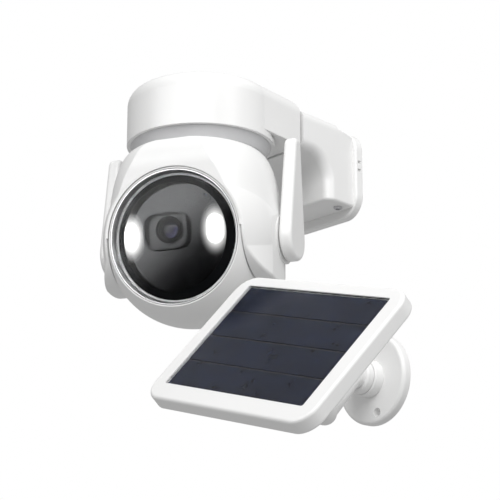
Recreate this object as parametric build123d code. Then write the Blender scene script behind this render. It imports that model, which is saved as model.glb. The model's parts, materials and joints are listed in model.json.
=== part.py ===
from build123d import *
import os
from math import cos, pi, radians, sin

# Solar-powered pan-and-tilt security camera with its wall-mounted solar panel.
# Millimetres.  The wall is the plane y = 0 and the object stands in front of it, in -Y, with +Z up.
# The origin is the centre of the back face of the camera's wall plate.
# The head is modelled facing -Y and the panel facing +Z, each in its own frame, and then placed.

# ---- driving dimensions: wall bracket ----
PLATE_W, PLATE_H, PLATE_T, PLATE_R = 57.0, 50.0, 5.0, 12.0
PLATE_HOLE_X, PLATE_HOLE_Z, PLATE_HOLE_R = 28.0, 28.0, 2.25
LOCK_X, LOCK_Y = 20.4, -11.5
BLOCK_W, BLOCK_BOTTOM, BLOCK_FRONT = 52.0, -20.0, -26.0
ARM_END_Y, ARM_END_W = -47.0, 62.0
ARM_TOP, ARM_UNDER = 26.5, 4.2
# ---- driving dimensions: base housing on the bracket's end ----
PAN_Y = -93.4
DRUM_R, DRUM_BOTTOM, DRUM_TOP, DRUM_WALL, DRUM_ROUND = 39.5, 0.6, 31.5, 2.2, 9.0
TAIL_Y = -49.5
NECK_R_TOP, NECK_R, NECK_IN_R, NECK_BOTTOM = 37.6, 34.2, 30.5, -5.8
TURNTABLE_R = 27.0
# ---- driving dimensions: head ----
PAN_REST, TILT_REST = 28.0, 9.0
HEAD_TOP, TILT_Z, HEAD_FORWARD = -6.8, -54.5, 9.0
BALL_R, BALL_WALL, BALL_HALF_W = 45.2, 2.2, 36.4
BEZEL_R, RING_R, RING_GROOVE, GLASS_R, GLASS_RECESS = 35.8, 34.7, 0.45, 33.2, 3.2
HOOD_AXIS_Y, HOOD_R, HOOD_WAIST_R, HOOD_CROWN_R = 2.5, 47.0, 44.0, 33.6
WRAP_R, WRAP_LEAD, HOOD_HALF_W, HOOD_IN_R, HOOD_IN_HALF_W = 47.2, 0.3, 46.2, 45.7, 37.0
SEAT_R, SEAT_S, HOOD_EDGE = 13.0, 46.6, 1.5
HOOD_SKIRT, SHOULDER_Z = 30.0, 2.0
SHOULDER_POINTS = ((HOOD_WAIST_R + 1.2, 17), (HOOD_WAIST_R - 2.6, 37))
HOOD_FACE_TOP, HOOD_FACE_LOW, BROW_START, BROW_END = 54.0, 5.0, 37.0, (-28.0, 50.0)
HOOD_CHEEK, HOOD_KEEL, HOOD_JAW, HOOD_HEEL = (-22.4, -15.2), (-6.0, -24.3), (17.0, -20.6), (30.5, -4.0)
HOOD_NAPE_Z = 18.0
FAR = 60.0  # past everything in the head, for cuts that go right through
ANT_Y, ANT_R, ANT_TOP_R, ANT_LEN, ANT_LEAN = 11.0, 12.0, 4.7, 50.5, 1.5
ANT_S0, ANT_T, ANT_PIN_R = 47.0, 7.0, 3.0
# ---- driving dimensions: solar panel ----
BASE_X, BASE_Z, BASE_R, BASE_T = 36.6, -118.5, 24.7, 5.0
BASE_HOLE_DX, BASE_HOLE_DZ, BASE_HOLE_SPACING, BASE_HOLE_R = 4.5, -2.0, 33.4, 2.4
PANEL_POS = Vector(102.7, -136.0, -131.7)
PANEL_N = Vector(0.115, -0.806, 0.581).normalized()
PANEL_ALONG = Vector(0.964, -0.05, -0.261)
PANEL_W, PANEL_H, PANEL_T, PANEL_R = 122.0, 83.0, 8.0, 11.0
CELL_W, CELL_H, CELL_SHIFT = 104.0, 66.8, 1.6
CELL_ROWS, CELL_GAP = 4, 1.2
ARM_R, NECK_ROD_R, BALL_JOINT_R, BALL_JOINT_DROP, ELBOW_RUN = 5.4, 4.0, 8.0, 24.0, 24.0
# ---- fits ----
GAP = 0.3
RUN = 0.05


def bar(x0, x1, y0, y1, z0, z1):
    """A plain block between two corners."""
    return Pos((x0 + x1) / 2, (y0 + y1) / 2, (z0 + z1) / 2) * Box(x1 - x0, y1 - y0, z1 - z0)


def tube_z(r, z0, z1, x=0.0, y=0.0):
    """A round bar along Z."""
    return Pos(x, y, (z0 + z1) / 2) * Cylinder(r, abs(z1 - z0))


def tube_y(r, y0, y1, x=0.0, z=0.0):
    """A round bar along Y."""
    return Pos(x, (y0 + y1) / 2, z) * Rot(90, 0, 0) * Cylinder(r, abs(y1 - y0))


def tube_x(r, x0, x1, y=0.0, z=0.0):
    """A round bar along X."""
    return Pos((x0 + x1) / 2, y, z) * Rot(0, 90, 0) * Cylinder(r, abs(x1 - x0))


def rounded_plate_y(w, h, r, y0, y1, x=0.0, z=0.0):
    """A rounded rectangle in XZ, extruded from y0 to y1 (y0 > y1)."""
    outline = Plane.XZ * RectangleRounded(w, h, r)
    return Pos(x, y0, z) * extrude(outline, y0 - y1)


def screw(head_r, head_h, shank_r, length, point=(0, 0, 0), turn=None):
    """A pan-head cross-recess screw, head up, with the underside of its head at the origin."""
    head = tube_z(head_r, 0, head_h)
    head = chamfer(head.edges().sort_by(Axis.Z)[-1], head_h * 0.4)
    shank = tube_z(shank_r, -length, 0)
    slot_w = head_r * 0.3
    recess = Pos(0, 0, head_h) * (Box(head_r * 1.2, slot_w, head_h) + Box(slot_w, head_r * 1.2, head_h))
    body = head + shank - recess
    return Pos(*point) * (turn or Rot(0, 0, 0)) * body


def gear(teeth, module, width, bore, z0):
    """A spur gear with straight-flanked teeth and backlash, standing on z0."""
    pitch_r = teeth * module / 2
    root_r = pitch_r - 1.15 * module
    tip_r = pitch_r + 0.8 * module
    half_root = 0.25 * pi * module * 1.12
    half_tip = 0.25 * pi * module * 0.42
    tooth = Polyline((root_r - 0.3, -half_root), (tip_r, -half_tip), (tip_r, half_tip),
                     (root_r - 0.3, half_root), close=True)
    face = make_face(tooth)
    solid = tube_z(root_r, z0, z0 + width)
    blank = extrude(face, width)
    for i in range(teeth):
        solid += Rot(0, 0, 360 * i / teeth) * Pos(0, 0, z0) * blank
    return solid - tube_z(bore, z0 - 1, z0 + width + 1)


# ---------------------------------------------------------------- frames
PAN_FRAME = Pos(0, PAN_Y, 0)
HEAD = PAN_FRAME * Rot(0, 0, PAN_REST) * Pos(0, -HEAD_FORWARD, TILT_Z)
BALL = HEAD * Rot(TILT_REST, 0, 0)
PANEL = Location(Plane(origin=PANEL_POS, x_dir=PANEL_ALONG, z_dir=PANEL_N))


# ---------------------------------------------------------------- wall bracket
def wall_plate():
    """Plate screwed to the wall first, with four holes and a two-notch latch on its right edge."""
    plate = rounded_plate_y(PLATE_W, PLATE_H, PLATE_R, 0, -PLATE_T)
    plate = fillet(plate.faces().sort_by(Axis.Y)[0].edges(), 1.2)
    for sx in (-1, 1):
        for sz in (-1, 1):
            plate -= tube_y(PLATE_HOLE_R, -PLATE_T - 1, 1, sx * PLATE_HOLE_X / 2, sz * PLATE_HOLE_Z / 2)
    for z in (1.5, 6.2):
        plate -= bar(PLATE_W / 2 - 1.2, PLATE_W / 2 + 1, -3.4, -1.2, z - 0.9, z + 0.9)
    lug = bar(LOCK_X - 2.0, LOCK_X + 2.0, -15.0, -PLATE_T + 0.5, -17.8, -12.5)
    return plate + lug - tube_z(1.3, -19, -12, LOCK_X, LOCK_Y)


def bracket_outline(grow=0.0):
    """Plan of the bracket: from the plate's width out to the wider end at the housing."""
    half0, half1 = BLOCK_W / 2 + grow, ARM_END_W / 2 + grow
    corners = (-half0, -PLATE_T), (half0, -PLATE_T), (half1, ARM_END_Y), (-half1, ARM_END_Y)
    return make_face(Polyline(*corners, close=True))


def bracket_arm():
    """Block over the plate that curves into the arm, with an arch below the arm."""
    side = [
        Line((-PLATE_T, 20.5), (-17.0, 23.0)),
        Line((-17.0, 23.0), (-17.0, ARM_TOP)),
        Line((-17.0, ARM_TOP), (ARM_END_Y, ARM_TOP)),
        Line((ARM_END_Y, ARM_TOP), (ARM_END_Y, ARM_UNDER)),
        Line((ARM_END_Y, ARM_UNDER), (-40.0, ARM_UNDER)),
        ThreePointArc((-40.0, ARM_UNDER), (-30.0, 0.2), (BLOCK_FRONT, -9.5)),
        Line((BLOCK_FRONT, -9.5), (BLOCK_FRONT, BLOCK_BOTTOM)),
        Line((BLOCK_FRONT, BLOCK_BOTTOM), (-PLATE_T, BLOCK_BOTTOM)),
        Line((-PLATE_T, BLOCK_BOTTOM), (-PLATE_T, 20.5)),
    ]
    profile = extrude(Plane.YZ * make_face(Wire(side)), 40, both=True)
    body = profile & extrude(bracket_outline(), 40, both=True)
    lower = [e for e in body.edges().filter_by(Axis.Z) if e.center().Z < 0 and e.center().Y < -20]
    body = fillet(lower, 5.0)
    top = [e for e in body.edges() if abs(e.center().Z - ARM_TOP) < 0.1 and abs(e.center().X) > 20]
    body = fillet(top, 6.0)
    under = [e for e in body.edges() if e.center().Z < ARM_UNDER + 0.1 and abs(e.center().X) > 18
             and e.center().Y < -7]
    body = fillet(under, 1.6)
    hollow = bar(-22.6, 22.6, -20, -PLATE_T + 1, -18.2, 18.4)
    body -= hollow
    body -= bar(-22, 22, ARM_END_Y - 1, -34, 9, 22)
    body -= tube_z(1.35, BLOCK_BOTTOM - 1, -15, LOCK_X, LOCK_Y)
    return body


def lock_screw():
    """Screw up through the block's underside that locks it on the plate's lug."""
    return screw(2.4, 1.2, 1.25, 6.5, (LOCK_X, LOCK_Y, BLOCK_BOTTOM), Rot(180, 0, 0))


def bracket_tongue():
    """Steel tongue that ties the housing's tail to the arm, with its two screws' holes."""
    tongue = bar(-21.5, 21.5, -58, -35, 12.0, 16.0)
    for sx in (-1, 1):
        tongue -= tube_z(1.6, 11, 17, sx * 12.0, -41.0)
        tongue -= tube_z(1.6, 11, 17, sx * 12.0, -54.8)
    return tongue


def tongue_screws():
    """The four screws through the tongue."""
    group = []
    for sx in (-1, 1):
        for y in (-41.0, -54.8):
            group.append(screw(2.8, 1.7, 1.5, 3.6, (sx * 12.0, y, 16.0)))
    return Compound(children=group)


# ---------------------------------------------------------------- base housing
TAIL_MEET, TAIL_MEET_Y, TAIL_OVERLAP, TAIL_OVERLAP_Y = 1.3, -84.0, 1.0, -90.0


def tail_outline(inset):
    """Plan of the tail, tangent to the drum and narrowing towards the bracket."""
    half0, half1 = DRUM_R - inset, ARM_END_W / 2 - inset
    end_y, meet, overlap = TAIL_Y - inset, half0 - TAIL_MEET, half0 - TAIL_OVERLAP
    corners = (-half1, end_y), (half1, end_y), (meet, TAIL_MEET_Y), (overlap, TAIL_OVERLAP_Y)
    mirrored = (-overlap, TAIL_OVERLAP_Y), (-meet, TAIL_MEET_Y)
    return make_face(Polyline(*corners, *mirrored, close=True))


def housing_plan(inset, z0, z1, tail_z0):
    """The drum with its tail: the tail's underside stands higher than the drum's."""
    drum = tube_z(DRUM_R - inset, z0, z1, 0, PAN_Y)
    tail = Pos(0, 0, tail_z0) * extrude(tail_outline(inset), z1 - tail_z0)
    return drum + tail


def top_housing():
    """Upper shell: side wall and domed top in one moulding, open underneath."""
    outer = housing_plan(0, DRUM_BOTTOM, DRUM_TOP, ARM_UNDER)
    top = outer.faces().filter_by(Axis.Z).sort_by(Axis.Z)[-1]
    outer = fillet(top.edges(), DRUM_ROUND)
    inner = housing_plan(DRUM_WALL, DRUM_BOTTOM - 1, DRUM_TOP - DRUM_WALL, ARM_UNDER - 1)
    inner_top = inner.faces().filter_by(Axis.Z).sort_by(Axis.Z)[-1]
    inner = fillet(inner_top.edges(), DRUM_ROUND - DRUM_WALL)
    shell = outer - inner
    shell -= bar(-22, 22, TAIL_Y - 4, TAIL_Y + 1, 11.7, 16.3)
    for hole in side_holes():
        shell -= hole
    return shell


def side_plane(dy, dz):
    """Frame on the tail's left wall: z out of the wall, x along it towards the wall bracket."""
    front = Vector(-DRUM_R + 1.3, -84, 0)
    back = Vector(-ARM_END_W / 2, TAIL_Y, 0)
    along = (back - front).normalized()
    out = Vector(0, 0, 1).cross(along)
    return Location(Plane(origin=front + along * dy + Vector(0, 0, dz), x_dir=along, z_dir=out))


BUTTON = side_plane(26.0, 18.0)
SOCKET = side_plane(11.0, 16.0)


def side_holes():
    """Openings in the tail's left wall for the power button and the charging socket."""
    button = BUTTON * Pos(0, 0, -1) * Cylinder(3.6, 8)
    socket = SOCKET * Pos(0, 0, -1) * extrude(RectangleRounded(9.6, 4.0, 1.8), 6, both=True)
    recess = SOCKET * Pos(-0.9, 0, -0.9) * extrude(RectangleRounded(18.6, 9.2, 2.6), 3)
    return [button, socket, recess]


def base_plate():
    """Floor of the housing with the bearing seat in its middle."""
    floor = tube_z(DRUM_R - DRUM_WALL - 0.1, DRUM_BOTTOM, DRUM_BOTTOM + 3.0, 0, PAN_Y)
    tail = Pos(0, 0, ARM_UNDER) * extrude(tail_outline(DRUM_WALL + 0.1), 2.4)
    rim = tube_z(DRUM_R - DRUM_WALL - 0.1, DRUM_BOTTOM, ARM_UNDER + 2.4, 0, PAN_Y)
    rim -= tube_z(DRUM_R - DRUM_WALL - 2.4, DRUM_BOTTOM - 1, ARM_UNDER + 4, 0, PAN_Y)
    tail -= tube_z(DRUM_R - DRUM_WALL - 1.0, 0, 10, 0, PAN_Y)
    floor = floor + rim + tail
    floor += tube_z(16.0, DRUM_BOTTOM, DRUM_BOTTOM + 3.2, 0, PAN_Y)
    return floor - tube_z(13.0, -2, 12, 0, PAN_Y)


def neck_ring():
    """Tapered skirt under the drum that the head turns against."""
    skirt = Cone(NECK_R, NECK_R_TOP, DRUM_BOTTOM - NECK_BOTTOM)
    ring = Pos(0, PAN_Y, (DRUM_BOTTOM + NECK_BOTTOM) / 2) * skirt
    ring -= tube_z(NECK_IN_R, NECK_BOTTOM - 1, DRUM_BOTTOM + 1, 0, PAN_Y)
    return fillet(ring.edges().sort_by(Axis.Z)[:2].sort_by(SortBy.LENGTH)[-1], 1.2)


def pan_bearing():
    """Bush pressed into the floor, which the turntable's hub runs in."""
    return (tube_z(13.0, -1.5, DRUM_BOTTOM + 3.2, 0, PAN_Y) - tube_z(10.0 + RUN, -3, 12, 0, PAN_Y))


PAN_GEAR_TEETH, PAN_PINION_TEETH, PAN_MODULE = 44, 11, 1.0
PAN_CENTRES = (PAN_GEAR_TEETH + PAN_PINION_TEETH) * PAN_MODULE / 2
PAN_GEAR_Z, PAN_GEAR_W = 4.4, 3.6


def pan_motor():
    """Geared motor beside the battery, its shaft down to the pinion."""
    can = tube_z(7.8, 9.4, 22.0, PAN_CENTRES, PAN_Y)
    can = fillet(can.edges().sort_by(Axis.Z)[-1], 1.0)
    can += tube_z(3.0, 8.6, 9.4, PAN_CENTRES, PAN_Y)
    return can


def pan_pinion():
    """Pinion and its shaft."""
    pinion = gear(PAN_PINION_TEETH, PAN_MODULE, PAN_GEAR_W, 1.5, PAN_GEAR_Z)
    return Pos(PAN_CENTRES, PAN_Y, 0) * (pinion + tube_z(1.5, PAN_GEAR_Z, PAN_GEAR_Z + PAN_GEAR_W + 0.3))


def battery_cells():
    """Two rechargeable cells lying side by side along the housing."""
    group = []
    for sx in (-1, 1):
        cell = tube_y(9.1, -123.4, -60.0, sx * 9.4, 19.3)
        cell = fillet(cell.edges(), 0.6)
        group.append(cell + tube_y(3.0, -124.2, -123.4, sx * 9.4, 19.3))
    return Compound(children=group)


def battery_cradle():
    """Tray that holds the cells above the pan gear."""
    tray = bar(-19.3, 19.3, -122.0, -62.0, 9.2, 15.0)
    for sx in (-1, 1):
        tray -= tube_y(9.3, -130, -50, sx * 9.4, 19.3)
    for y in (-104, -76):
        tray -= bar(-14, 14, y - 8, y + 8, 8, 16)
    return tray


def power_board():
    """Charging and power circuit board on the side away from the motor."""
    board = bar(-34.5, -21.5, -106, -80, 12.0, 13.6)
    board += bar(-32.5, -26.5, -102, -95, 13.6, 15.4)
    board += bar(-31.5, -25.5, -91, -87, 13.6, 16.4)
    return board


def charge_socket():
    """Charging socket behind the opening in the tail's left wall."""
    shell = extrude(RectangleRounded(9.2, 3.6, 1.6), -8.0)
    hollow = extrude(RectangleRounded(8.4, 2.8, 1.2), -7.0)
    tongue = Pos(0, 0, -7.2) * extrude(Rectangle(6.4, 0.7), 5.4)
    return SOCKET * Pos(0, 0, -1.6) * (shell - hollow + tongue)


def charge_flap():
    """Hinged rubber cover over the charging socket, with its plug and a finger lip."""
    lid = extrude(RectangleRounded(16.0, 8.6, 2.4), 1.6)
    lid = fillet(lid.faces().sort_by(Axis.Z)[-1].edges(), 0.5)
    lid += Pos(0, 0, -0.55) * extrude(RectangleRounded(7.8, 2.3, 1.0), 0.6)
    lid += Pos(7.2, 0, 1.9) * Box(1.2, 4.0, 0.8)
    return SOCKET * Pos(0, 0, -0.55) * lid


def power_button():
    """Round power button in the tail's left wall."""
    cap = Pos(0, 0, -1.2) * Cylinder(3.3, 4.0)
    cap = fillet(cap.edges().sort_by(Axis.Z)[-1], 0.5)
    cap += Pos(0, 0, -3.6) * Cylinder(4.6, 0.8)
    return BUTTON * cap


def power_switch():
    """Tact switch behind the button."""
    return BUTTON * Pos(0, 0, -6.6) * (Box(6.0, 6.0, 3.0) + Pos(0, 0, 1.7) * Cylinder(1.6, 0.5))


# ---------------------------------------------------------------- head: pan body (head frame)
HUB_TOP = PAN_GEAR_Z + PAN_GEAR_W + 0.2


def pan_turntable():
    """Turning disc with the hub that runs in the bush and carries the pan gear."""
    disc = tube_z(TURNTABLE_R, HEAD_TOP, HEAD_TOP + 3.6, 0, PAN_Y)
    hub = tube_z(10.0, HEAD_TOP, PAN_GEAR_Z - 0.05, 0, PAN_Y)
    nose = tube_z(8.0, HEAD_TOP, HUB_TOP, 0, PAN_Y)
    return disc + hub + nose - tube_z(5.0, HEAD_TOP - 1, HUB_TOP + 1, 0, PAN_Y)


def pan_gear():
    """Gear pressed on the hub."""
    return Pos(0, PAN_Y, 0) * gear(PAN_GEAR_TEETH, PAN_MODULE, PAN_GEAR_W, 8.0, PAN_GEAR_Z)


FACE_Y = -(BALL_R ** 2 - BEZEL_R ** 2) ** 0.5


def at_rest(y, z):
    """A point of the ball's side view, seen in the yoke's side view with the ball at rest."""
    t = radians(TILT_REST)
    return (y * cos(t) - z * sin(t), y * sin(t) + z * cos(t))


def hood_blank():
    """Outside of the yoke: flat crown and round shoulders, joined to a shell that wraps the ball."""
    crown = HEAD_TOP - TILT_Z
    start, rim = (HOOD_R, SHOULDER_Z), (HOOD_CROWN_R, crown)
    section = [
        Line((0, -HOOD_SKIRT), (HOOD_R, -HOOD_SKIRT)),
        Line((HOOD_R, -HOOD_SKIRT), start),
        Spline(start, *SHOULDER_POINTS, rim, tangents=((0, 1), (-1, 0.35))),
        Line(rim, (0, crown)),
        Line((0, crown), (0, -HOOD_SKIRT)),
    ]
    shoulders = Pos(0, HOOD_AXIS_Y, 0) * revolve(Plane.XZ * make_face(Wire(section)), Axis.Z)
    return (shoulders + Sphere(WRAP_R)) & bar(-HOOD_HALF_W, HOOD_HALF_W, -FAR, FAR, -FAR, crown)


def hood_side():
    """Side view of the yoke: the front follows the ball's face, and the arms end in round lobes."""
    top, low = at_rest(FACE_Y - WRAP_LEAD, HOOD_FACE_TOP), at_rest(FACE_Y - WRAP_LEAD, HOOD_FACE_LOW)
    return make_face(Wire([
        Line(top, low),
        ThreePointArc(low, HOOD_CHEEK, HOOD_KEEL),
        ThreePointArc(HOOD_KEEL, HOOD_JAW, HOOD_HEEL),
        Line(HOOD_HEEL, (FAR, HOOD_NAPE_Z)),
        Line((FAR, HOOD_NAPE_Z), (FAR, top[1])),
        Line((FAR, top[1]), top),
    ]))


def brow_cut():
    """What is cut from the yoke's front above the ball's face, so that it curves back to the crown."""
    brow, low = at_rest(FACE_Y - WRAP_LEAD, BROW_START), at_rest(FACE_Y - WRAP_LEAD, HOOD_FACE_LOW)
    outline = make_face(Wire([
        TangentArc(brow, BROW_END, tangent=(brow[0] - low[0], brow[1] - low[1])),
        Line(BROW_END, (-FAR, BROW_END[1])),
        Line((-FAR, BROW_END[1]), (-FAR, brow[1])),
        Line((-FAR, brow[1]), brow),
    ]))
    return extrude(Plane.YZ * outline, FAR, both=True)


def hood():
    """One-piece yoke: crown, shoulders and the two arms that hold the ball."""
    body = hood_blank() & extrude(Plane.YZ * hood_side(), FAR, both=True)
    crown = HEAD_TOP - TILT_Z
    body = fillet([edge for edge in body.edges() if edge.center().Z < crown - 1], HOOD_EDGE)
    body -= brow_cut()
    for s in (-1, 1):
        body += tube_x(SEAT_R, s * 40, s * SEAT_S, ANT_Y, 0)
    body -= Sphere(HOOD_IN_R) & bar(-HOOD_IN_HALF_W, HOOD_IN_HALF_W, -FAR, FAR, -FAR, FAR)
    body -= bar(-HOOD_IN_HALF_W, HOOD_IN_HALF_W, -FAR, FAR, -FAR, -2)
    for s in (-1, 1):
        body -= tube_x(7.0 + RUN, s * 35, s * 41.0)
        body -= tube_x(ANT_PIN_R + RUN, s * 35, s * 60, ANT_Y, 0)
    body -= Pos(0, HEAD_FORWARD, 0) * tube_z(5.0, 40, 50)
    return HEAD * body


def antenna(s):
    """Flat tapered aerial on a round hub, with the pivot pin that runs in the yoke's arm."""
    base = Pos(ANT_Y, 0) * Circle(ANT_R)
    tip = Pos(ANT_Y + ANT_LEAN, ANT_LEN) * Circle(ANT_TOP_R)
    blade = extrude(Plane.YZ * make_hull([*base.edges(), *tip.edges()]), ANT_T)
    blade = fillet(blade.edges().group_by(Axis.X)[-1] + blade.edges().group_by(Axis.X)[0], 2.2)
    blade = Pos(ANT_S0, 0, 0) * blade
    pin = tube_x(ANT_PIN_R, 37.4, ANT_S0 + 1, ANT_Y, 0)
    body = blade + pin
    if s < 0:
        body = mirror(body, about=Plane.YZ)
    return HEAD * body


# ---------------------------------------------------------------- head: tilt body (ball frame)
GLASS_Y = FACE_Y + GLASS_RECESS
SPLIT_Y = 4.0
GLASS_T = 1.4
WINDOW_R = 32.2
LENS_X, LENS_Z, LENS_R = -5.4, 5.0, 7.0
MODULE_X, MODULE_Z, MODULE_W, MODULE_H, MODULE_R = -6.6, 4.4, 24.5, 19.6, 6.5
LAMPS = ((-26.9, 3.3, 7.8, 14.6), (19.8, 3.2, 10.4, 16.4))
CHIP_SIZE, CHIP_T, CHIP_DEPTH, CHIP_PITCH = 2.4, 0.9, 4.65, 0.27
SENSOR_X, SENSOR_Z = 15.2, 21.0
PLATE_Y = FACE_Y + 8.6


def ball_solid(r, half_w):
    """Ball with flattened sides."""
    return Sphere(r) & bar(-half_w, half_w, -60, 60, -60, 60)


def ball_hollow():
    """The shell's inside."""
    return ball_solid(BALL_R - BALL_WALL, BALL_HALF_W - BALL_WALL)


def ball_front():
    """Front half of the ball: the face is cut flat, with steps for the ring and the glass."""
    shell = ball_solid(BALL_R, BALL_HALF_W) - ball_hollow()
    shell &= bar(-60, 60, FACE_Y, SPLIT_Y, -60, 60)
    land = tube_y(BEZEL_R + 4.0, FACE_Y + 1.0, FACE_Y + 8.0) & ball_solid(BALL_R - 0.4, BALL_HALF_W - 0.4)
    shell += land
    shell -= tube_y(RING_R + 0.05, FACE_Y - 1, GLASS_Y)
    shell -= tube_y(RING_R + RING_GROOVE, FACE_Y - 1, FACE_Y + 1.4)
    shell -= tube_y(GLASS_R + 0.1, FACE_Y - 1, GLASS_Y + GLASS_T)
    shell -= tube_y(WINDOW_R, FACE_Y - 1, FACE_Y + 12)
    for s in (-1, 1):
        shell -= tube_x(AXLE_R + RUN, s * 30, s * 40)
    return BALL * shell


def ball_rear():
    """Rear half of the ball, with the loudspeaker's slots at its back."""
    shell = ball_solid(BALL_R, BALL_HALF_W) - ball_hollow()
    shell &= bar(-60, 60, SPLIT_Y, 60, -60, 60)
    for i in range(-3, 4):
        half = (1 - (i / 4.2) ** 2) ** 0.5 * 13
        shell -= bar(-half, half, 30, 50, i * 3.4 - 0.8, i * 3.4 + 0.8)
    for s in (-1, 1):
        shell -= tube_x(AXLE_R + RUN, s * 30, s * 40)
    return BALL * shell


def facing_cone(r_front, r_back, y_front, y_back, x=0.0, z=0.0):
    """A cone along Y whose front radius is at the lower Y."""
    height = y_back - y_front
    return Pos(x, (y_front + y_back) / 2, z) * Rot(90, 0, 0) * Cone(r_back, r_front, height)


def trim_ring():
    """Sloped silver ring between the ball and the glass."""
    ring = tube_y(RING_R, FACE_Y, GLASS_Y)
    throat = facing_cone(RING_R - 0.4, GLASS_R - 0.1, FACE_Y - 0.01, GLASS_Y + 0.01)
    return BALL * (ring - throat)


def front_glass():
    """Clear front cover on its step behind the ring."""
    return BALL * tube_y(GLASS_R, GLASS_Y, GLASS_Y + GLASS_T)


def glass_border():
    """Opaque black band behind the glass's edge."""
    band = tube_y(WINDOW_R - 0.1, GLASS_Y + GLASS_T, GLASS_Y + GLASS_T + 0.3)
    band -= Pos(-1.0, 0, 0.6) * tube_y(28.2, GLASS_Y, GLASS_Y + 4)
    return BALL * band


def module_outline(grow):
    """Rounded rectangle of the lens module in the face plane."""
    return Plane.XZ * RectangleRounded(MODULE_W + grow, MODULE_H + grow, MODULE_R + grow / 2)


def module_prism(grow, y_front, y_back):
    """The module's outline as a prism."""
    return Pos(MODULE_X, y_back, MODULE_Z) * extrude(module_outline(grow), y_back - y_front)


def lamp_prism(lamp, grow, y_front, y_back):
    """An upright stadium in the face plane, as a prism: lamp is its place, width and height."""
    x, z, w, h = lamp
    outline = Plane.XZ * Rot(0, 0, 90) * SlotOverall(h + 2 * grow, w + 2 * grow)
    return Pos(x, y_back, z) * extrude(outline, y_back - y_front)


def inner_plate():
    """Dark plate behind the glass with openings for the lens module, the lamps and the light sensor."""
    plate = tube_y(WINDOW_R - 0.3, PLATE_Y, PLATE_Y + 1.2)
    plate -= module_prism(0.2, PLATE_Y - 1, PLATE_Y + 3)
    for lamp in LAMPS:
        plate -= lamp_prism(lamp, -0.4, PLATE_Y - 1, PLATE_Y + 3)
    plate -= tube_y(1.1, PLATE_Y - 1, PLATE_Y + 3, SENSOR_X, SENSOR_Z)
    return BALL * plate


def lens_housing():
    """Rounded box round the lens with a raised rim and a sunk floor."""
    box = module_prism(0, FACE_Y + 5.6, PLATE_Y + 7.0)
    box = fillet(box.faces().sort_by(Axis.Y)[0].edges(), 0.4)
    box -= module_prism(-2.0, FACE_Y + 4, FACE_Y + 8.8)
    box -= tube_y(LENS_R + 0.05, FACE_Y + 4, PLATE_Y + 9, LENS_X, LENS_Z)
    return BALL * box


def lens_barrel():
    """Stepped barrel with its thread-like light baffles."""
    barrel = tube_y(LENS_R, FACE_Y + 7.2, PLATE_Y + 13, LENS_X, LENS_Z)
    for i, r in enumerate((5.6, 5.1, 4.6, 4.1)):
        start = FACE_Y + 6.5 + i * 1.0
        barrel -= tube_y(r, start, start + 1.71 if i < 3 else PLATE_Y + 14, LENS_X, LENS_Z)
    return BALL * barrel


def lens_front_element():
    """Front lens element: a shallow dome."""
    dome = Pos(LENS_X, FACE_Y + 17.6, LENS_Z) * Sphere(8.6)
    dome &= tube_y(4.05, FACE_Y + 8.0, FACE_Y + 11.6, LENS_X, LENS_Z)
    return BALL * dome


def sensor_board():
    """Circuit board behind the lens with the image sensor and two chips."""
    y = PLATE_Y + 13
    board = Pos(LENS_X, y + 0.8, LENS_Z) * Box(34, 1.6, 30)
    board += Pos(LENS_X, y + 2.6, LENS_Z + 3) * Box(11, 2.0, 11)
    board += Pos(LENS_X + 9, y + 2.3, LENS_Z - 9) * Box(7, 1.4, 5)
    return BALL * board


def lamp_reflectors():
    """Bright cups of the two spotlights."""
    cups = [lamp_prism(lamp, -0.5, PLATE_Y + 1.3, PLATE_Y + 5.0) for lamp in LAMPS]
    holes = [lamp_prism(lamp, -1.1, PLATE_Y + 1.2, PLATE_Y + 5.1) for lamp in LAMPS]
    return BALL * Compound(children=[cup - hole for cup, hole in zip(cups, holes)])


def lamp_chips():
    """Light-emitting chips at the bottom of the cups, three one above another in each."""
    chips = []
    for x, z, _, height in LAMPS:
        for i in (-1, 0, 1):
            level = z + i * height * CHIP_PITCH
            chip = Box(CHIP_SIZE, CHIP_T, CHIP_SIZE)
            chips.append(Pos(x, PLATE_Y + CHIP_DEPTH, level) * chip)
    return BALL * Compound(children=chips)


def lamp_lenses():
    """Clear lenses over the spotlights, standing a little proud of the inner plate."""
    lenses = []
    for lamp in LAMPS:
        lens = lamp_prism(lamp, -0.5, PLATE_Y - 0.9, PLATE_Y + 1.2)
        lenses.append(fillet(lens.faces().sort_by(Axis.Y)[0].edges(), 0.8))
    return BALL * Compound(children=lenses)


def lamp_board():
    """Circuit board that carries the two lamp chips, open in its middle for the lens module."""
    board = tube_y(WINDOW_R - 0.6, PLATE_Y + 5.2, PLATE_Y + 6.4)
    board -= module_prism(1.0, PLATE_Y + 4, PLATE_Y + 8)
    return BALL * board


def light_sensor():
    """Small ambient light sensor in the inner plate."""
    return BALL * tube_y(1.0, PLATE_Y - 0.1, PLATE_Y + 2.5, SENSOR_X, SENSOR_Z)


def main_board():
    """Main circuit board across the ball behind the axle."""
    board = bar(-24, 24, 20.0, 21.6, -22, 22)
    board += bar(-10, 8, 21.6, 23.4, -4, 14)
    board += bar(12, 22, 21.6, 23.0, -18, -10)
    board += bar(-22, -12, 21.6, 25.4, -20, -14)
    return BALL * board


def loudspeaker():
    """Loudspeaker behind the slots."""
    return BALL * (tube_y(13.0, 33.0, 38.4) + tube_y(8.0, 26.0, 33.0))


# ---------------------------------------------------------------- tilt axle and drive
AXLE_R, AXLE_FLANGE_R = 4.95, 7.0
TILT_MODULE, TILT_GEAR_TEETH, TILT_PINION_TEETH = 0.8, 24, 12
TILT_CENTRES = (TILT_GEAR_TEETH + TILT_PINION_TEETH) * TILT_MODULE / 2
TILT_GEAR_X, TILT_GEAR_W = 26.5, 3.4
PINION_ANGLE = -45.0
PINION_Y = TILT_CENTRES * cos(radians(PINION_ANGLE))
PINION_Z = TILT_CENTRES * sin(radians(PINION_ANGLE))


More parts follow.
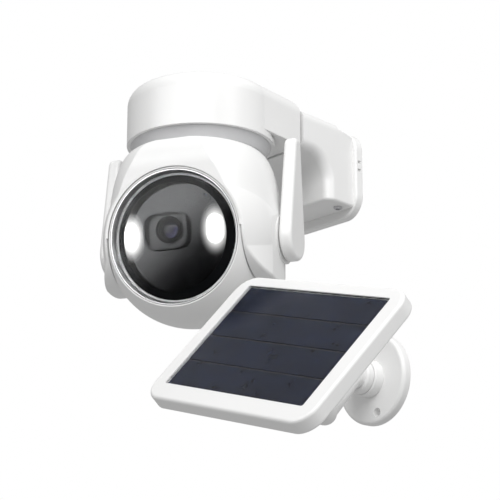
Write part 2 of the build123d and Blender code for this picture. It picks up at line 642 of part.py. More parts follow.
def tilt_axle(s):
    """Stub axle with a flange pressed in the yoke's arm."""
    inner = 24.0 if s > 0 else 30.0
    axle = tube_x(AXLE_FLANGE_R, s * (HOOD_IN_HALF_W + 0.2), s * 41.0)
    return HEAD * (axle + tube_x(AXLE_R, s * inner, s * 38.0))


def gear_x(teeth, bore):
    """A gear of the tilt drive lying across X, its first tooth towards +Y."""
    return Rot(0, 90, 0) * Rot(0, 0, 90) * gear(teeth, TILT_MODULE, TILT_GEAR_W, bore, TILT_GEAR_X)


def tilt_gear():
    """Gear fixed on the right axle."""
    body = Rot(PINION_ANGLE, 0, 0) * gear_x(TILT_GEAR_TEETH, AXLE_R)
    return HEAD * Rot(TILT_REST, 0, 0) * body


def tilt_pinion():
    """Pinion on the tilt motor's shaft that walks round the fixed gear."""
    half_tooth = 180.0 / TILT_PINION_TEETH
    body = Rot(PINION_ANGLE + half_tooth, 0, 0) * gear_x(TILT_PINION_TEETH, 1.2)
    body += tube_x(1.2, TILT_GEAR_X - 0.6, TILT_GEAR_X + TILT_GEAR_W)
    return BALL * Pos(0, PINION_Y, PINION_Z) * body


def tilt_motor():
    """Geared tilt motor inside the ball."""
    can = tube_x(6.6, 8.0, 24.6, PINION_Y, PINION_Z)
    can = fillet(can.edges().sort_by(Axis.X)[0], 0.8)
    return BALL * (can + tube_x(2.6, 24.6, 25.6, PINION_Y, PINION_Z))


# ---------------------------------------------------------------- solar panel (panel frame, front up)
JOINT_CENTRE = PANEL_POS - PANEL_N * BALL_JOINT_DROP
KNUCKLE = Vector(BASE_X, -18.0, BASE_Z)
HUB_R, HUB_END = 9.0, -11.0
REACH = (JOINT_CENTRE - KNUCKLE).normalized()
NECK_DIR = (PANEL_N * 0.85 + REACH * 0.15).normalized()
ELBOW = JOINT_CENTRE - NECK_DIR * ELBOW_RUN


def rod(start, end, r):
    """A round bar from one point to another."""
    along = end - start
    place = Location(Plane(origin=start, z_dir=along.normalized()))
    return place * Pos(0, 0, along.length / 2) * Cylinder(r, along.length)


def solar_base():
    """Round wall base with two screw holes and the hub that the arm turns on."""
    disc = tube_y(BASE_R, -BASE_T, 0, BASE_X, BASE_Z)
    disc = fillet(disc.edges().sort_by(Axis.Y)[0], 2.0)
    hub = tube_y(HUB_R + 1.0, HUB_END, -BASE_T + 0.5, BASE_X, BASE_Z)
    hub = fillet(hub.edges().sort_by(Axis.Y)[0], 0.8)
    body = disc + hub
    body -= tube_y(4.0 + RUN, HUB_END - 1, -3.0, BASE_X, BASE_Z)
    for z in base_hole_heights():
        x = BASE_X + BASE_HOLE_DX
        body -= tube_y(BASE_HOLE_R, -BASE_T - 1, 1, x, z)
    return body


def base_hole_heights():
    """Heights of the wall base's two screw holes."""
    middle = BASE_Z + BASE_HOLE_DZ
    return (middle + BASE_HOLE_SPACING / 2, middle - BASE_HOLE_SPACING / 2)


def knob(centre, along, r):
    """A ball whose poles lie along a rod's axis."""
    return Location(Plane(origin=centre, z_dir=along.normalized())) * Sphere(r)


def solar_arm():
    """Bent arm: hub flange, knuckle, long run, elbow and the ball at its end."""
    flange = tube_y(HUB_R, -15.5, HUB_END - GAP, BASE_X, BASE_Z)
    flange = fillet(flange.edges().sort_by(Axis.Y)[0], 1.2)
    shaft = tube_y(4.0, -15.5, -3.4, BASE_X, BASE_Z)
    knuckle = knob(KNUCKLE, ELBOW - KNUCKLE, 7.2)
    run = rod(KNUCKLE, ELBOW, ARM_R)
    elbow = knob(ELBOW, NECK_DIR, ARM_R + 0.6)
    neck = rod(ELBOW, JOINT_CENTRE, NECK_ROD_R)
    ball = knob(JOINT_CENTRE, NECK_DIR, BALL_JOINT_R)
    return knuckle + run + elbow + neck + ball + (flange + shaft)


def ball_liner():
    """Plastic liner round the ball, inside the socket."""
    shell = Sphere(9.2) - Sphere(BALL_JOINT_R + RUN)
    shell &= bar(-12, 12, -12, 12, -3.0, 12)
    return PANEL * Pos(0, 0, -BALL_JOINT_DROP) * shell


BACK_Z = -PANEL_T
SOCKET_R, SOCKET_FLANGE_R, SOCKET_FLANGE_T = 12.0, 17.0, 2.6


def panel_socket():
    """Cup for the ball on a round flange, with the pivot that runs in the panel's back."""
    flange_top = BACK_Z - GAP
    body = tube_z(SOCKET_R, -BALL_JOINT_DROP - 3.4, flange_top)
    body += tube_z(SOCKET_FLANGE_R, flange_top - SOCKET_FLANGE_T, flange_top)
    body += tube_z(5.0, flange_top - 1, BACK_Z + 3.4)
    body -= Pos(0, 0, -BALL_JOINT_DROP) * Sphere(9.2 + RUN)
    body -= tube_z(8.7, -BALL_JOINT_DROP - 6, -BALL_JOINT_DROP)
    return PANEL * body


def locking_collar():
    """Ribbed collar that is turned to clamp the ball joint."""
    collar = tube_z(15.4, -BALL_JOINT_DROP - 3.4, -BALL_JOINT_DROP + 5.0)
    collar = chamfer(collar.edges().filter_by(GeomType.CIRCLE), 0.8)
    collar -= tube_z(SOCKET_R + 0.06, -60, 0)
    for i in range(16):
        groove = Rot(0, 0, 22.5 * i) * tube_z(1.1, -BALL_JOINT_DROP - 4, -BALL_JOINT_DROP + 6, 16.0, 0)
        collar -= groove
    return PANEL * collar


def panel_frame():
    """White frame: rounded front, side walls, and a window for the cells."""
    frame = extrude(RectangleRounded(PANEL_W, PANEL_H, PANEL_R), -PANEL_T)
    frame = fillet(frame.faces().sort_by(Axis.Z)[-1].edges(), 1.6)
    frame = fillet(frame.faces().sort_by(Axis.Z)[0].edges(), 1.0)
    frame -= Pos(0, CELL_SHIFT, 1) * extrude(RectangleRounded(CELL_W, CELL_H, 1.2), -4)
    frame -= Pos(0, 0, -2.4) * extrude(RectangleRounded(PANEL_W - 5, PANEL_H - 5, PANEL_R - 2.5), -PANEL_T)
    return PANEL * frame


PANE_T, PANE_RECESS = 0.9, 0.5


def panel_glass():
    """Clear cover over the cells, just below the frame's front."""
    pane = extrude(RectangleRounded(CELL_W - 0.2, CELL_H - 0.2, 1.1), -PANE_T)
    return PANEL * Pos(0, CELL_SHIFT, -PANE_RECESS) * pane


def solar_cells():
    """Four strips of cells, one above another."""
    pitch = CELL_H / CELL_ROWS
    group = []
    for i in range(CELL_ROWS):
        y = CELL_SHIFT + (i - (CELL_ROWS - 1) / 2) * pitch
        group.append(Pos(0, y, -1.6) * Box(CELL_W - 1.6, pitch - CELL_GAP, 0.3))
    return PANEL * Compound(children=group)


def panel_back():
    """Back cover inside the frame's walls, with the pivot's bore and four screw holes."""
    cover = Pos(0, 0, BACK_Z) * extrude(RectangleRounded(PANEL_W - 5.2, PANEL_H - 5.2, PANEL_R - 2.6), 2.2)
    cover += tube_z(9.0, BACK_Z, BACK_Z + 3.6)
    cover -= tube_z(5.0 + RUN, BACK_Z - 1, BACK_Z + 6)
    for x, y in panel_screw_points():
        cover -= tube_z(1.4, BACK_Z - 1, BACK_Z + 3, x, y)
    return PANEL * cover


def panel_screw_points():
    """The back cover's four screws."""
    half_w, half_h = PANEL_W / 2 - 9, PANEL_H / 2 - 9
    return [(sx * half_w, sy * half_h) for sx in (-1, 1) for sy in (-1, 1)]


def panel_screws():
    """Screws in the back cover."""
    group = [screw(2.4, 1.4, 1.35, 3.6, (x, y, BACK_Z), Rot(180, 0, 0)) for x, y in panel_screw_points()]
    return PANEL * Compound(children=group)


def pivot_clip():
    """Clip on the pivot's end that keeps the socket on the panel."""
    clip = tube_z(8.0, BACK_Z + 3.65, BACK_Z + 4.3)
    clip -= tube_z(3.0, 0, -20)
    return PANEL * clip


def junction_box():
    """Small box for the panel's output lead on the back cover."""
    box = bar(24, 48, -12, 12, BACK_Z - 5.0, BACK_Z - 0.02)
    box = fillet(box.edges().filter_by(Axis.Z), 3.0)
    box = fillet(box.faces().sort_by(Axis.Z)[0].edges(), 1.0)
    box -= tube_y(2.6, -13, -9, 36, BACK_Z - 2.8 + 0.1)
    return PANEL * box


def cable_gland():
    """Rubber gland in the junction box's lower side: the lead's outlet."""
    gland = tube_y(2.4, -17, -9.2, 36, BACK_Z - 2.7)
    gland -= tube_y(1.5, -18, -10.5, 36, BACK_Z - 2.7)
    return PANEL * gland


MAKERS = {
    "wall_plate": wall_plate,
    "bracket_arm": bracket_arm,
    "bracket_lock_screw": lock_screw,
    "bracket_tongue": bracket_tongue,
    "tongue_screws": tongue_screws,
    "top_housing": top_housing,
    "base_plate": base_plate,
    "neck_ring": neck_ring,
    "pan_bearing": pan_bearing,
    "pan_motor": pan_motor,
    "pan_pinion": pan_pinion,
    "battery_cells": battery_cells,
    "battery_cradle": battery_cradle,
    "power_board": power_board,
    "charge_socket": charge_socket,
    "charge_flap": charge_flap,
    "power_button": power_button,
    "power_switch": power_switch,
    "pan_turntable": pan_turntable,
    "pan_gear": pan_gear,
    "hood": hood,
    "tilt_axle_right": lambda: tilt_axle(1),
    "tilt_axle_left": lambda: tilt_axle(-1),
    "tilt_gear": tilt_gear,
    "antenna_right": lambda: antenna(1),
    "antenna_left": lambda: antenna(-1),
    "ball_front": ball_front,
    "ball_rear": ball_rear,
    "trim_ring": trim_ring,
    "front_glass": front_glass,
    "glass_border": glass_border,
    "inner_plate": inner_plate,
    "lens_housing": lens_housing,
    "lens_barrel": lens_barrel,
    "lens_front_element": lens_front_element,
    "sensor_board": sensor_board,
    "lamp_reflectors": lamp_reflectors,
    "lamp_chips": lamp_chips,
    "lamp_lenses": lamp_lenses,
    "lamp_board": lamp_board,
    "light_sensor": light_sensor,
    "main_board": main_board,
    "loudspeaker": loudspeaker,
    "tilt_motor": tilt_motor,
    "tilt_pinion": tilt_pinion,
    "solar_base": solar_base,
    "solar_arm": solar_arm,
    "ball_liner": ball_liner,
    "panel_socket": panel_socket,
    "locking_collar": locking_collar,
    "panel_frame": panel_frame,
    "panel_glass": panel_glass,
    "solar_cells": solar_cells,
    "panel_back": panel_back,
    "panel_screws": panel_screws,
    "pivot_clip": pivot_clip,
    "junction_box": junction_box,
    "cable_gland": cable_gland,
}


def main():
    """Write one STEP file for each piece."""
    os.makedirs("parts", exist_ok=True)
    for name, make in MAKERS.items():
        export_step(make(), f"parts/{name}.step")


if __name__ == "__main__":
    main()
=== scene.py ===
"""Solar-powered security camera: finishes, details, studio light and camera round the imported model."""
import json
import math

import bmesh
import bpy
import numpy as np
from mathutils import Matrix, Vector


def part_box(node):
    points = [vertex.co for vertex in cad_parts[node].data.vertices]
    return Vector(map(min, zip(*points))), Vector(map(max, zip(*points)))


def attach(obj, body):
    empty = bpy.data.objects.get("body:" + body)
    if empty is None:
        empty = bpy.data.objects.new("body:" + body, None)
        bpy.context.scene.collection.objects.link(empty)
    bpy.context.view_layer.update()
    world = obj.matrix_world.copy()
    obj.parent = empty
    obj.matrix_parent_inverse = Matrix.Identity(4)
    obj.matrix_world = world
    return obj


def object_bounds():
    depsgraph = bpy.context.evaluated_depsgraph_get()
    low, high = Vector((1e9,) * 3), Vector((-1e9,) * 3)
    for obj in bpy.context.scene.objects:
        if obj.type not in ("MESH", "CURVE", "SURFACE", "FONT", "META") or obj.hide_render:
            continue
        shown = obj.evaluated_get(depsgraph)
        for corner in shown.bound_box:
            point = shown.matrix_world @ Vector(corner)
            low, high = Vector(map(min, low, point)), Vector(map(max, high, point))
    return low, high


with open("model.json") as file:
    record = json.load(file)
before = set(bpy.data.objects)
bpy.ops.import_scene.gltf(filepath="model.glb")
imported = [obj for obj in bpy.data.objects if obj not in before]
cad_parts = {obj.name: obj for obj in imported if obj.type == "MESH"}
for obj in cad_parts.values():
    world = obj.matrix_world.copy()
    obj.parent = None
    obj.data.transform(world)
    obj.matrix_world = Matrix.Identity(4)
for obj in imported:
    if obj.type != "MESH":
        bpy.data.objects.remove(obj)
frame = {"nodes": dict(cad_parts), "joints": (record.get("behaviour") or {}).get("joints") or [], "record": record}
NODES = frame["nodes"]
CAD_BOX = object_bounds()
BODIES = frame["record"]["behaviour"]["bodies"]
BODY_OF = {node: body for body, nodes in BODIES.items() for node in nodes}
MM = 0.001


# ---------------------------------------------------------------- places read from the frame
def centre(node):
    """Middle of a node's box."""
    low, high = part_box(node)
    return (low + high) / 2


def axes_of(node):
    """A node's own axes from its corners' spread, longest first."""
    corners = np.array([v.co for v in NODES[node].data.vertices])
    spread = np.linalg.svd(corners - corners.mean(0), full_matrices=False)[2]
    return [Vector(row) for row in spread]


def joint(name):
    """A joint of the record by its name."""
    return next(j for j in frame["joints"] if j["name"] == name)


TILT_AXIS = Vector(joint("tilt")["axis"]).normalized()
if TILT_AXIS.x < 0:
    TILT_AXIS.negate()
FACING = axes_of("front_glass")[2]
if FACING.y > 0:
    FACING.negate()
FACE_UP = FACING.cross(TILT_AXIS)
if FACE_UP.z < 0:
    FACE_UP.negate()
GLASS_CENTRE = centre("front_glass")
PANEL_NORMAL = Vector(joint("panel_roll")["axis"]).normalized()
if PANEL_NORMAL.z < 0:
    PANEL_NORMAL.negate()
PANEL_ALONG = axes_of("solar_cells")[0]
if PANEL_ALONG.x < 0:
    PANEL_ALONG.negate()
PANEL_UP = PANEL_NORMAL.cross(PANEL_ALONG)
CELLS_CENTRE = centre("solar_cells")


def lamp_spots():
    """Middle of each spotlight, from the chips on either side of the glass's centre."""
    sides = ([], [])
    for vertex in NODES["lamp_chips"].data.vertices:
        sides[(vertex.co - GLASS_CENTRE).dot(TILT_AXIS) > 0].append(vertex.co)
    return [sum(side, Vector()) / len(side) for side in sides]


# ---------------------------------------------------------------- node graph helpers
class Graph:
    """A material's node tree with short calls for the nodes that the finishes share."""

    def __init__(self, name):
        self.material = bpy.data.materials.new(name)
        self.material.use_nodes = True
        self.tree = self.material.node_tree
        self.shader = self.tree.nodes["Principled BSDF"]
        self.place = self.add("ShaderNodeTexCoord").outputs["Object"]

    def add(self, kind, **settings):
        """A new node with its settings."""
        node = self.tree.nodes.new(kind)
        for key, value in settings.items():
            setattr(node, key, value)
        return node

    def link(self, source, target):
        """Joins an output to an input."""
        self.tree.links.new(source, target)

    def set(self, **values):
        """Constant values on the shader's own sockets."""
        for key, value in values.items():
            self.shader.inputs[key.replace("_", " ")].default_value = value

    def noise(self, size, detail=2.0, place=None, roughness=0.5):
        """Noise whose cells are about size metres across."""
        node = self.add("ShaderNodeTexNoise")
        node.inputs["Scale"].default_value = 1 / size
        node.inputs["Detail"].default_value = detail
        node.inputs["Roughness"].default_value = roughness
        self.link(place or self.place, node.inputs["Vector"])
        return node.outputs["Fac"]

    def spread(self, value, low, high, start=0.3, end=0.7):
        """A value mapped from start..end to low..high."""
        node = self.add("ShaderNodeMapRange")
        node.inputs["From Min"].default_value = start
        node.inputs["From Max"].default_value = end
        node.inputs["To Min"].default_value = low
        node.inputs["To Max"].default_value = high
        self.link(value, node.inputs["Value"])
        return node.outputs["Result"]

    def math(self, operation, a, b=0.0):
        """Arithmetic on two values."""
        node = self.add("ShaderNodeMath", operation=operation)
        for socket, value in zip(node.inputs, (a, b)):
            if isinstance(value, (int, float)):
                socket.default_value = value
            else:
                self.link(value, socket)
        return node.outputs[0]

    def colours(self, value, low, high, start=0.3, end=0.7):
        """A colour between low and high as a value goes from start to end."""
        node = self.add("ShaderNodeValToRGB")
        stops = node.color_ramp.elements
        stops[0].position, stops[1].position = start, end
        stops[0].color, stops[1].color = (*low, 1), (*high, 1)
        self.link(value, node.inputs["Fac"])
        return node.outputs["Color"]

    def mix(self, factor, a, b):
        """A colour mixed between two."""
        node = self.add("ShaderNodeMix", data_type="RGBA")
        for socket, value in (("Factor", factor), ("A", a), ("B", b)):
            if isinstance(value, tuple):
                node.inputs[socket].default_value = (*value, 1)
            else:
                self.link(value, node.inputs[socket])
        return node.outputs["Result"]

    def along(self, origin, direction):
        """Distance of the shaded point from origin along a direction."""
        from_origin = self.add("ShaderNodeVectorMath", operation="SUBTRACT")
        self.link(self.place, from_origin.inputs[0])
        from_origin.inputs[1].default_value = origin
        dot = self.add("ShaderNodeVectorMath", operation="DOT_PRODUCT")
        self.link(from_origin.outputs[0], dot.inputs[0])
        dot.inputs[1].default_value = direction
        return dot.outputs["Value"]

    def radius(self, origin, direction):
        """Distance of the shaded point from the axis through origin."""
        from_origin = self.add("ShaderNodeVectorMath", operation="SUBTRACT")
        self.link(self.place, from_origin.inputs[0])
        from_origin.inputs[1].default_value = origin
        cross = self.add("ShaderNodeVectorMath", operation="CROSS_PRODUCT")
        self.link(from_origin.outputs[0], cross.inputs[0])
        cross.inputs[1].default_value = direction
        length = self.add("ShaderNodeVectorMath", operation="LENGTH")
        self.link(cross.outputs[0], length.inputs[0])
        return length.outputs["Value"]

    def vector(self, x, y, z=0.0):
        """A vector of three values."""
        node = self.add("ShaderNodeCombineXYZ")
        for socket, value in zip(node.inputs, (x, y, z)):
            if isinstance(value, (int, float)):
                socket.default_value = value
            else:
                self.link(value, socket)
        return node.outputs[0]

    def bump(self, height, depth, round_edges=0.0):
        """Surface relief of a real depth, with edges softened by a radius."""
        node = self.add("ShaderNodeBump")
        node.inputs["Strength"].default_value = 1.0
        node.inputs["Distance"].default_value = depth
        self.link(height, node.inputs["Height"])
        if round_edges:
            soft = self.add("ShaderNodeBevel", samples=4)
            soft.inputs["Radius"].default_value = round_edges
            self.link(soft.outputs[0], node.inputs["Normal"])
        self.link(node.outputs[0], self.shader.inputs["Normal"])


# ---------------------------------------------------------------- finishes
def moulded(name, colour, rough, grain=0.35 * MM, depth=0.012 * MM, edge=0.35 * MM, tint=0.02):
    """Injection-moulded plastic: spark-eroded grain, cloudy gloss and slightly rounded edges."""
    cloud_size, cloud_gloss, grain_gloss = 30 * MM, 0.03, 0.04
    g = Graph(name)
    darker = tuple(c * (1 - tint) for c in colour)
    cloud = g.noise(cloud_size, 3)
    g.link(g.colours(cloud, darker, colour), g.shader.inputs["Base Color"])
    fine = g.noise(grain, 3, roughness=0.6)
    broad = g.spread(cloud, rough - cloud_gloss, rough + cloud_gloss)
    gloss = g.math("ADD", broad, g.spread(fine, -grain_gloss, grain_gloss))
    g.link(gloss, g.shader.inputs["Roughness"])
    g.bump(fine, depth, round_edges=edge)
    return g


def turned(name, colour, rough, origin, direction):
    """Metal turned on a lathe: fine rings round an axis."""
    pitch, depth, edge, shade = 0.12 * MM, 0.004 * MM, 0.12 * MM, 0.88
    g = Graph(name)
    rings = g.noise(pitch, 2, g.vector(g.radius(origin, direction), 0.0))
    g.link(g.colours(rings, tuple(c * shade for c in colour), colour), g.shader.inputs["Base Color"])
    g.link(g.spread(rings, rough - 0.05, rough + 0.08), g.shader.inputs["Roughness"])
    g.set(Metallic=1.0)
    g.bump(rings, depth, round_edges=edge)
    return g


def brushed(name, colour, rough, direction, length=9 * MM):
    """Metal with long scratches along a direction."""
    width, depth, edge, shade = 0.09 * MM, 0.006 * MM, 0.15 * MM, 0.8
    g = Graph(name)
    run = g.along((0, 0, 0), direction)
    side = direction.orthogonal().normalized()
    other = direction.cross(side)
    squeezed = g.math("MULTIPLY", run, width / length)
    place = g.vector(squeezed, g.along((0, 0, 0), side), g.along((0, 0, 0), other))
    scratch = g.noise(width, 3, place)
    g.link(g.colours(scratch, tuple(c * shade for c in colour), colour), g.shader.inputs["Base Color"])
    g.link(g.spread(scratch, rough - 0.06, rough + 0.1), g.shader.inputs["Roughness"])
    g.set(Metallic=1.0)
    g.bump(scratch, depth, round_edges=edge)
    return g


def clear(name, tint, rough=0.02, ior=1.49, smear=0.03):
    """Clear sheet or lens with a faint smear in its polish."""
    smear_size = 18 * MM
    g = Graph(name)
    g.set(Base_Color=(*tint, 1), Transmission_Weight=1.0, IOR=ior)
    g.link(g.spread(g.noise(smear_size, 4), rough, rough + smear), g.shader.inputs["Roughness"])
    return g


def circuit(name):
    """Solder mask over copper tracks, with a coppery pad here and there."""
    pad_pitch, track_pitch, track_depth = 2.4 * MM, 4.5 * MM, 0.03 * MM
    g = Graph(name)
    cells = g.add("ShaderNodeTexVoronoi", feature="F1", distance="MANHATTAN")
    cells.inputs["Scale"].default_value = 1 / pad_pitch
    g.link(g.place, cells.inputs["Vector"])
    tracks = g.add("ShaderNodeTexWave", wave_type="BANDS", bands_direction="DIAGONAL")
    tracks.inputs["Scale"].default_value = 1 / track_pitch
    tracks.inputs["Distortion"].default_value = 6.0
    tracks.inputs["Detail Scale"].default_value = 0.6
    g.link(g.place, tracks.inputs["Vector"])
    solder_mask, over_copper, gold = (0.012, 0.075, 0.035), (0.03, 0.16, 0.075), (0.62, 0.45, 0.18)
    board = g.colours(tracks.outputs["Fac"], solder_mask, over_copper, 0.45, 0.55)
    pads = g.spread(cells.outputs["Distance"], 1.0, 0.0, 0.16, 0.2)
    g.link(g.mix(pads, board, gold), g.shader.inputs["Base Color"])
    g.link(g.spread(pads, 0.34, 0.26, 0, 1), g.shader.inputs["Roughness"])
    g.bump(tracks.outputs["Fac"], track_depth)
    return g


def rubber(name, colour):
    """Matt moulded rubber with a fine dusty grain."""
    g = moulded(name, colour, 0.62, grain=0.25 * MM, depth=0.02 * MM, edge=0.3 * MM, tint=0.08)
    g.set(Sheen_Weight=0.15, Sheen_Roughness=0.5)
    return g


def battery_wrap():
    """Shrink sleeve on the cells: blue film with shallow wrinkles."""
    wrinkle_size, depth, edge = 5 * MM, 0.15 * MM, 0.4 * MM
    g = Graph("battery_wrap")
    wrinkle = g.noise(wrinkle_size, 4)
    g.link(g.colours(wrinkle, (0.03, 0.11, 0.30), (0.05, 0.17, 0.42)), g.shader.inputs["Base Color"])
    g.link(g.spread(wrinkle, 0.2, 0.32), g.shader.inputs["Roughness"])
    g.bump(wrinkle, depth, round_edges=edge)
    return g


def solar_cell():
    """Dark blue silicon with hair-fine silver fingers across each strip and grain in the wafer."""
    finger_pitch, finger_height, grain_size = 1.7 * MM, 0.02 * MM, 9 * MM
    g = Graph("solar_cell")
    run = g.along(CELLS_CENTRE, PANEL_ALONG)
    wafer = g.noise(grain_size, 4)
    silicon = g.colours(wafer, (0.004, 0.006, 0.015), (0.010, 0.014, 0.030))
    phase = g.math("FRACT", g.math("DIVIDE", run, finger_pitch))
    off_middle = g.math("ABSOLUTE", g.math("SUBTRACT", phase, 0.5))
    finger = g.spread(off_middle, 0.30, 0.0, 0.03, 0.055)
    g.link(g.mix(finger, silicon, (0.035, 0.045, 0.075)), g.shader.inputs["Base Color"])
    g.link(g.spread(wafer, 0.26, 0.40), g.shader.inputs["Roughness"])
    g.set(Specular_IOR_Level=0.12)
    g.bump(finger, finger_height)
    return g


def from_lamps(g):
    """Distance to the nearer lamp, shorter along its upright row of chips."""
    upright_share = 0.62
    distances = []
    for spot in lamp_spots():
        across = g.along(spot, TILT_AXIS)
        upright = g.math("MULTIPLY", g.along(spot, FACE_UP), upright_share)
        squares = g.math("ADD", g.math("MULTIPLY", across, across), g.math("MULTIPLY", upright, upright))
        distances.append(g.math("SQRT", squares))
    return g.math("MINIMUM", *distances)


def lamp_panel_painted_glow(name):
    """Glossy black plate between the lamps, with a painted glow of their light spilling a little way over it."""
    brightest, start, end, falloff = 1.25, 3.5 * MM, 9.5 * MM, 2.4
    g = moulded(name, (0.0025, 0.0025, 0.003), 0.10, grain=0.3 * MM, depth=0.0, edge=0.0, tint=0.2)
    # painted glow: emission on the black plate, brightest near the lamps, stands in for their light spilling over
    # it
    painted_spill = g.spread(from_lamps(g), brightest, 0.0, start, end)
    g.set(Emission_Color=(1.0, 0.99, 0.97, 1))
    g.link(g.math("POWER", painted_spill, falloff), g.shader.inputs["Emission Strength"])
    return g


def lamp_glow(name):
    """Lit lamp cover: bright over its row of chips, falling off towards its rim."""
    bright, faint, start, end = 5.0, 0.7, 1.5 * MM, 4.8 * MM
    ripple_size, ripple_depth = 0.8 * MM, 0.05 * MM
    g = Graph(name)
    glow = g.spread(from_lamps(g), bright, faint, start, end)
    g.set(Base_Color=(0.95, 0.95, 0.93, 1), Emission_Color=(1.0, 0.99, 0.955, 1), Roughness=0.25)
    g.link(glow, g.shader.inputs["Emission Strength"])
    g.bump(g.noise(ripple_size, 2), ripple_depth)
    return g


def lit(name, colour, strength):
    """Light-emitting surface with a slightly uneven phosphor."""
    speckle, dimmest = 0.6 * MM, 0.85
    g = Graph(name)
    g.set(Base_Color=(1.0, 0.9, 0.6, 1), Emission_Color=(*colour, 1))
    glow = g.spread(g.noise(speckle, 2), strength * dimmest, strength)
    g.link(glow, g.shader.inputs["Emission Strength"])
    return g


WHITE = (0.86, 0.86, 0.855)
BLACK_POLISH = {"grain": 0.6 * MM, "depth": 0.003 * MM, "tint": 0.2}
DARK_POLISH = {"grain": 0.3 * MM, "depth": 0.002 * MM, "tint": 0.2}
MODULE_POLISH = {"grain": 0.2 * MM, "depth": 0.002 * MM, "tint": 0.3}
LAMINATE_GRAIN = {"grain": 0.5 * MM, "depth": 0.01 * MM, "tint": 0.3}
FINISHES = {
    "white_shell": moulded("white_shell", WHITE, 0.34),
    "grey_trim": moulded("grey_trim", (0.62, 0.62, 0.63), 0.38),
    "silver_trim": turned("silver_trim", (0.86, 0.86, 0.87), 0.30, GLASS_CENTRE, FACING),
    "black_trim": moulded("black_trim", (0.006, 0.006, 0.007), 0.16, **BLACK_POLISH),
    "dark_plastic": moulded("dark_plastic", (0.010, 0.010, 0.011), 0.14, **DARK_POLISH),
    "clear_cover": clear("clear_cover", (0.93, 0.94, 0.95), rough=0.0, ior=1.2, smear=0.012),
    "lens_glass": clear("lens_glass", (0.35, 0.33, 0.70), ior=1.4),
    "lamp_lens": lamp_glow("lamp_lens"),
    "lamp_emitter": lit("lamp_emitter", (1.0, 0.97, 0.88), 30.0),
    "reflector": turned("reflector", (0.92, 0.92, 0.92), 0.10, GLASS_CENTRE, FACING),
    "circuit_board": circuit("circuit_board"),
    "motor_metal": brushed("motor_metal", (0.60, 0.60, 0.62), 0.34, Vector((0, 0, 1))),
    "brass": turned("brass", (0.78, 0.60, 0.30), 0.26, centre("pan_bearing"), (0, 0, 1)),
    "gear_plastic": moulded("gear_plastic", (0.80, 0.77, 0.68), 0.42),
    "screw_steel": brushed("screw_steel", (0.66, 0.66, 0.68), 0.30, Vector((0, 1, 0)), length=3 * MM),
    "battery_wrap": battery_wrap(),
    "rubber": rubber("rubber", (0.78, 0.78, 0.78)),
    "black_rubber": rubber("black_rubber", (0.022, 0.022, 0.022)),
    "solar_cell": solar_cell(),
    "panel_cover": clear("panel_cover", (0.97, 0.975, 0.985), rough=0.06, ior=1.13, smear=0.06),
}

FINISHES["black_trim"].set(Specular_IOR_Level=0.05)
BY_NODE = {
    "inner_plate": lamp_panel_painted_glow("lamp_panel_painted_glow"),
    "lens_housing": moulded("module_face", (0.006, 0.006, 0.007), 0.2, **MODULE_POLISH),
}

for name, node in NODES.items():
    slot = node.data.materials[0].name.split(".")[0]
    finish = BY_NODE.get(name) or FINISHES[slot]
    for material_slot in node.material_slots:
        material_slot.material = finish.material


# ---------------------------------------------------------------- small details
SQUARE = ((-1, -1), (1, -1), (1, 1), (-1, 1))


def add_object(name, data):
    """A new object in the scene."""
    thing = bpy.data.objects.new(name, data)
    bpy.context.scene.collection.objects.link(thing)
    return thing


def cell_backing():
    """Black laminate behind the strips of cells, seen in the gaps between them."""
    corners = [v.co - CELLS_CENTRE for v in NODES["solar_cells"].data.vertices]
    margin, thickness, gap = 0.3 * MM, 0.16 * MM, 0.06 * MM
    half_long = max(c.dot(PANEL_ALONG) for c in corners) + margin
    half_wide = max(c.dot(PANEL_UP) for c in corners) + margin
    level = min(c.dot(PANEL_NORMAL) for c in corners) - gap
    middle = CELLS_CENTRE + PANEL_NORMAL * level
    shape = bmesh.new()
    top = []
    for x, y in SQUARE:
        place = middle + PANEL_ALONG * x * half_long + PANEL_UP * y * half_wide
        top.append(shape.verts.new(place))
    shape.faces.new(top)
    sheet = bmesh.ops.extrude_face_region(shape, geom=shape.faces[:])
    moved = [item for item in sheet["geom"] if isinstance(item, bmesh.types.BMVert)]
    bmesh.ops.translate(shape, verts=moved, vec=-PANEL_NORMAL * thickness)
    bmesh.ops.recalc_face_normals(shape, faces=shape.faces[:])
    mesh = bpy.data.meshes.new("cell_backing")
    shape.to_mesh(mesh)
    shape.free()
    piece = add_object("cell_backing", mesh)
    finish = moulded("cell_laminate", (0.004, 0.005, 0.009), 0.4, **LAMINATE_GRAIN)
    mesh.materials.append(finish.material)
    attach(piece, BODY_OF["solar_cells"])


cell_backing()

# ---------------------------------------------------------------- studio
TARGET = Vector((-65.6, 0.0, -23.6)) * MM
AZIMUTH, ELEVATION = math.radians(48.4), math.radians(-16.3)
CAMERA_DISTANCE = 1.062
towards_camera = Vector((
    math.sin(AZIMUTH) * math.cos(ELEVATION),
    -math.cos(AZIMUTH) * math.cos(ELEVATION),
    math.sin(ELEVATION),
))
camera_data = bpy.data.cameras.new("camera")
camera_data.sensor_width = 36.0
camera_data.lens = 129.6
camera = add_object("camera", camera_data)
camera.location = TARGET + towards_camera * CAMERA_DISTANCE
camera.rotation_euler = (-towards_camera).to_track_quat("-Z", "Y").to_euler()
bpy.context.scene.camera = camera

MIDDLE = (CAD_BOX[0] + CAD_BOX[1]) / 2


def softbox(name, azimuth, elevation, distance, width, height, power):
    """Rectangular light at an angle round the object, facing its middle."""
    light = bpy.data.lights.new(name, "AREA")
    light.shape = "RECTANGLE"
    light.size, light.size_y = width, height
    light.energy = power
    lamp = add_object(name, light)
    a, e = math.radians(azimuth), math.radians(elevation)
    away = Vector((math.sin(a) * math.cos(e), -math.cos(a) * math.cos(e), math.sin(e)))
    lamp.location = MIDDLE + away * distance
    lamp.rotation_euler = (-away).to_track_quat("-Z", "Y").to_euler()
    lamp.visible_camera = False


softbox("key_light", 44, 33, 1.3, 0.9, 0.9, 11.2)
softbox("top_light", 60, 80, 1.2, 0.8, 0.8, 3.4)
softbox("right_light", 96, 30, 1.4, 0.5, 0.9, 4.0)


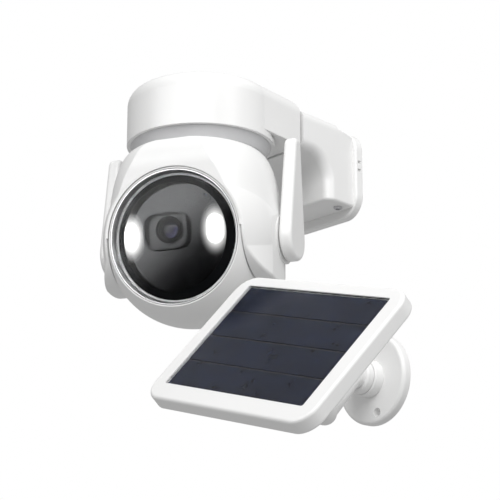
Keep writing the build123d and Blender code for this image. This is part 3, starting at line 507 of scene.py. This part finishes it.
def sheet(name, middle, across, up, finish):
    """Flat sheet whose half sides are across and up."""
    mesh = bpy.data.meshes.new(name)
    mesh.from_pydata([middle + across * x + up * y for x, y in SQUARE], [], [(0, 1, 2, 3)])
    mesh.materials.append(finish.material)
    return add_object(name, mesh)


def reflected_card():
    """Card in front of the face: its lit corner is what the plate behind the glass mirrors."""
    distance, half, lit = 0.55, 0.34, 3.7
    edge, soft_edge = 0.018, 0.016
    away = 2 * FACING.dot(towards_camera) * FACING - towards_camera
    across = (TILT_AXIS - away * TILT_AXIS.dot(away)).normalized()
    up = across.cross(away)
    if up.z < 0:
        up.negate()
    middle = GLASS_CENTRE + away * distance
    towards_lit = (up * 0.80 - across * 0.60).normalized()
    g = Graph("card")
    fade = g.spread(g.along(middle, towards_lit), 0.0, lit, edge - soft_edge, edge + soft_edge)
    g.set(Base_Color=(0.01, 0.01, 0.01, 1), Emission_Color=(1, 1, 1, 1), Roughness=1.0)
    g.link(fade, g.shader.inputs["Emission Strength"])
    card = sheet("card", middle, across * half, up * half, g)
    card.visible_camera = False
    card.visible_diffuse = False
    card.visible_shadow = False


reflected_card()


def floor():
    """Plain pale floor well under the object."""
    half, height, cloud_size, own_light = 6.0, -0.62, 0.4, 0.45
    g = Graph("floor")
    pale = g.colours(g.noise(cloud_size, 2), (0.83, 0.83, 0.83), (0.85, 0.85, 0.85))
    g.link(pale, g.shader.inputs["Base Color"])
    g.set(Roughness=0.8, Emission_Color=(1, 1, 1, 1), Emission_Strength=own_light)
    ground = sheet("floor", Vector((0, 0, height)), Vector((half, 0, 0)), Vector((0, half, 0)), g)
    ground.visible_diffuse = False
    ground.visible_glossy = False


floor()

AMBIENT = 0.54
world = bpy.data.worlds.new("studio")
bpy.context.scene.world = world
world.use_nodes = True
sky = world.node_tree
backdrop = sky.nodes["Background"]
backdrop.inputs["Color"].default_value = (1, 1, 1, 1)
ambient = sky.nodes.new("ShaderNodeBackground")
ambient.inputs["Strength"].default_value = AMBIENT
ray = sky.nodes.new("ShaderNodeLightPath")
choose = sky.nodes.new("ShaderNodeMixShader")
sky.links.new(ray.outputs["Is Camera Ray"], choose.inputs["Fac"])
sky.links.new(ambient.outputs[0], choose.inputs[1])
sky.links.new(backdrop.outputs[0], choose.inputs[2])
sky.links.new(choose.outputs[0], sky.nodes["World Output"].inputs["Surface"])
bpy.context.scene.view_settings.view_transform = "Standard"
